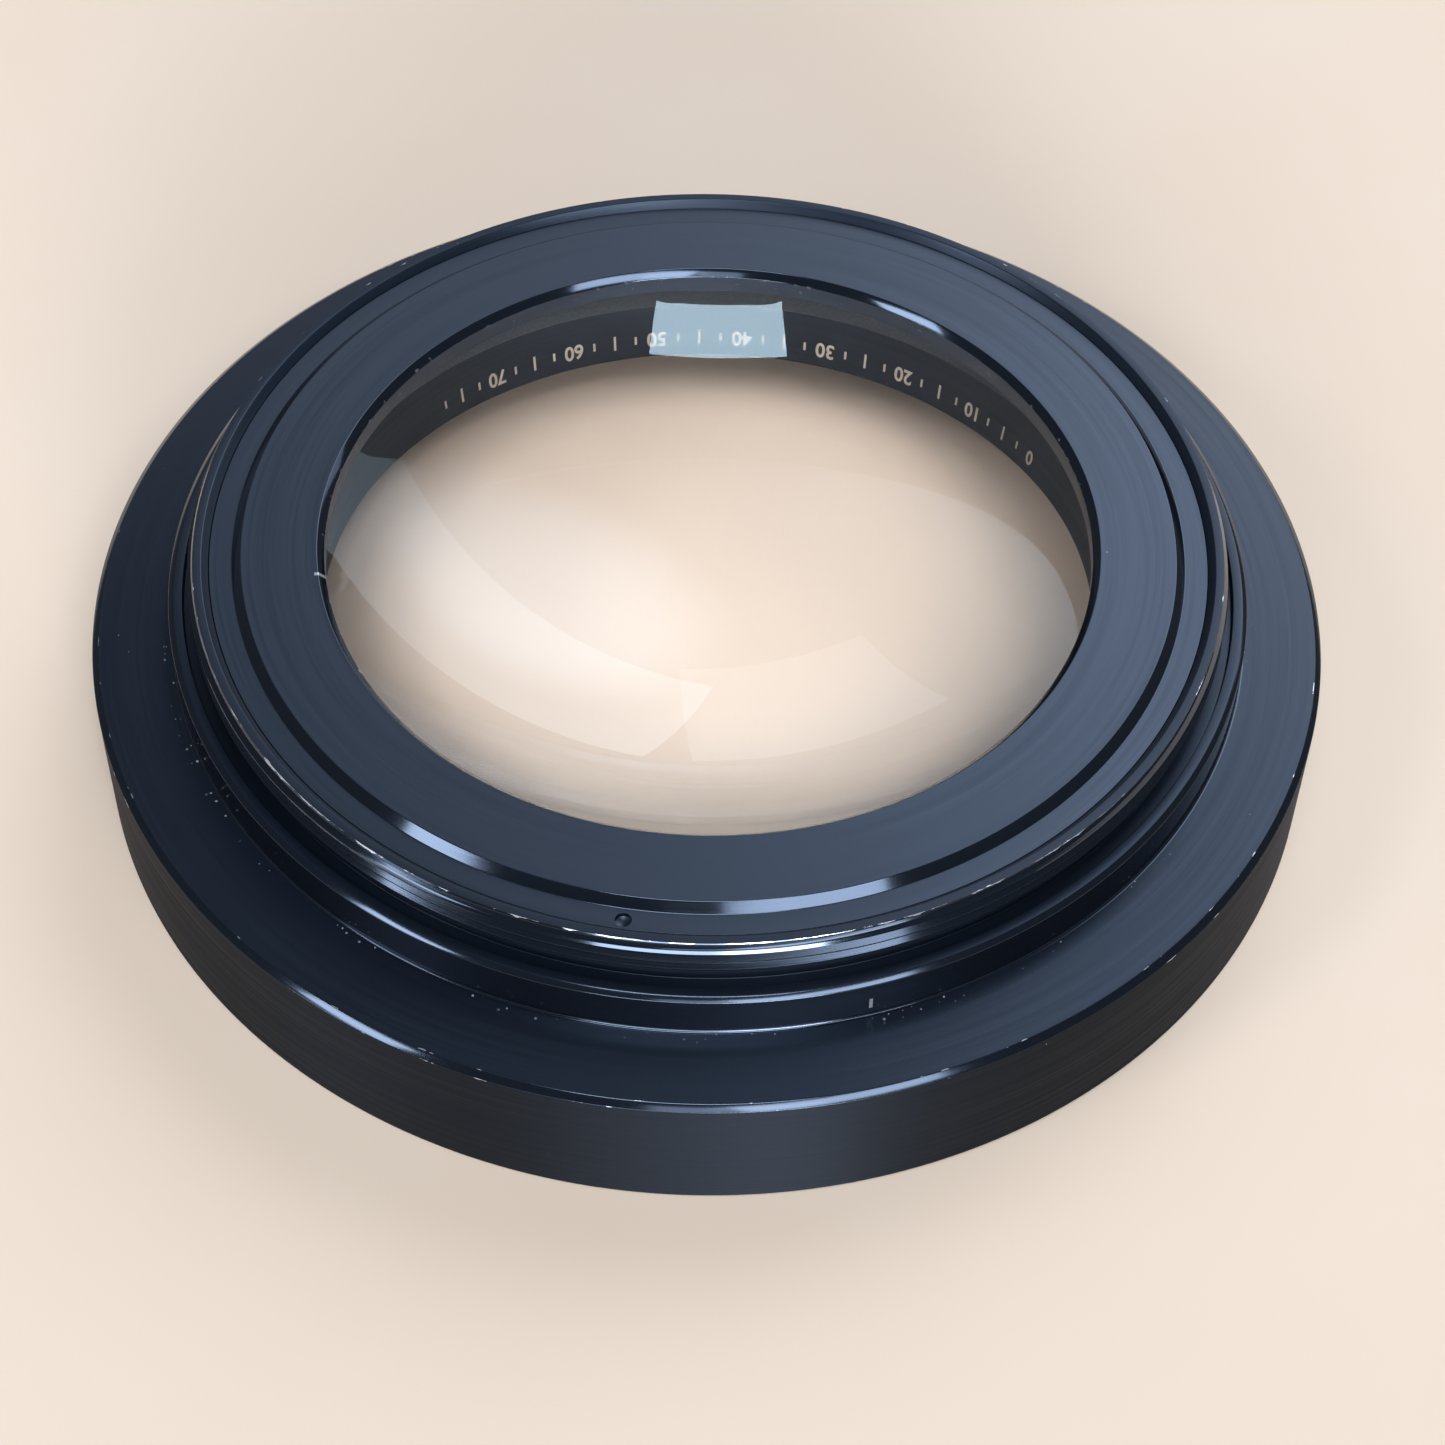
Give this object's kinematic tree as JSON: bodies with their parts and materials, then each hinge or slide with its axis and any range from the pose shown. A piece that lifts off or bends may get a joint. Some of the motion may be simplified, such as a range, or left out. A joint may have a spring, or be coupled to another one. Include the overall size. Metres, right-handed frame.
{
  "type": "wide-angle conversion lens",
  "caption": "Low round wide-angle conversion lens: black hood with a flat flange, a glass meniscus under a broad retaining ring, and a male screw thread behind for a camera lens.",
  "frame": {"origin": "centre of the front rim's face, on the surface that the lens stands on", "axes": "+Z along the optical axis, from the front rim towards the rear screw thread; +X to the right in the picture's view"},
  "size_m": [0.0804, 0.0804, 0.0159],
  "materials": {
    "barrel": "black anodised, turned, satin with a glossy boss and worn bare edges",
    "retaining_ring": "black anodised, faced on the lathe with fine concentric turning marks",
    "glass": "polished optical glass with a thin coating"
  },
  "bodies": {
    "root": {"barrel": "barrel", "retaining_ring": "retaining_ring", "lens_element": "glass"}
  },
  "joints": []
}
